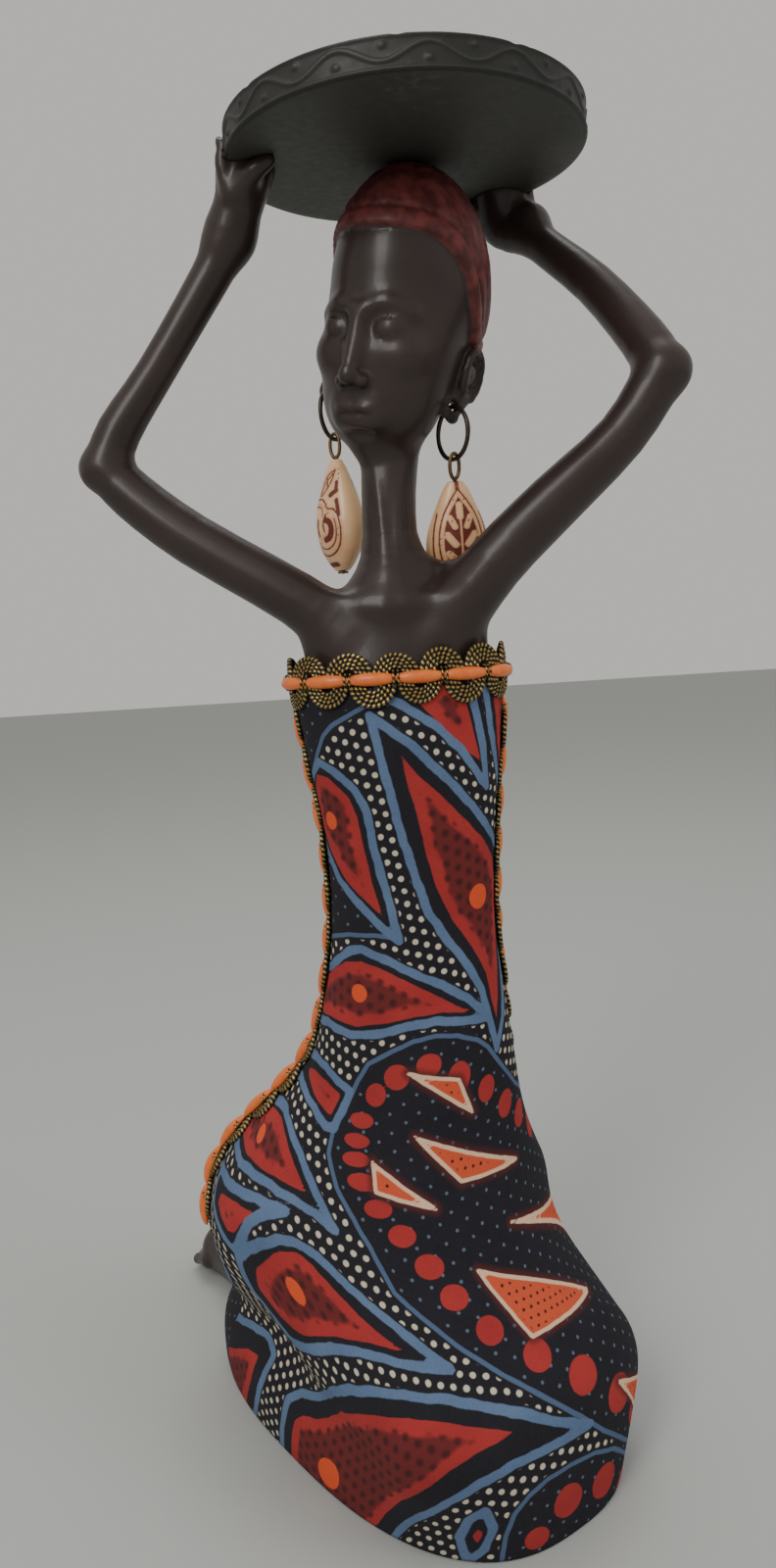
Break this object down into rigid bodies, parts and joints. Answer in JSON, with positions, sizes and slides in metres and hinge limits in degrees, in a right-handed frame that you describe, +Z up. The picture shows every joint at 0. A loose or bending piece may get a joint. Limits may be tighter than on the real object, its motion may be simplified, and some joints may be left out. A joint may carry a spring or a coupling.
{
  "type": "figurine candle holder",
  "caption": "Kneeling woman in a printed dress, both arms raised to hold a shallow round candle dish on her head.",
  "frame": {"origin": "on the table plane, under the axis of the dish", "axes": "+Z up, the chest faces -Y, her left is on the +X side"},
  "size_m": [0.1614, 0.1623, 0.344],
  "materials": {
    "resin": "satin dark brown paint over polyresin",
    "cotton": "printed cotton",
    "lace": "black and gold braid",
    "ribbon": "orange satin",
    "wire": "dark antique bronze",
    "bead": "polished cream with brown etching"
  },
  "bodies": {
    "root": {"figure": "resin", "dress": "cotton", "neckline_lace": "lace", "neckline_ribbon": "ribbon", "left_side_lace": "lace", "right_side_lace": "lace", "left_side_ribbon": "ribbon", "right_side_ribbon": "ribbon", "left_ring": "wire", "right_ring": "wire", "left_pin": "wire", "right_pin": "wire", "left_bead": "bead", "right_bead": "bead"}
  },
  "joints": []
}
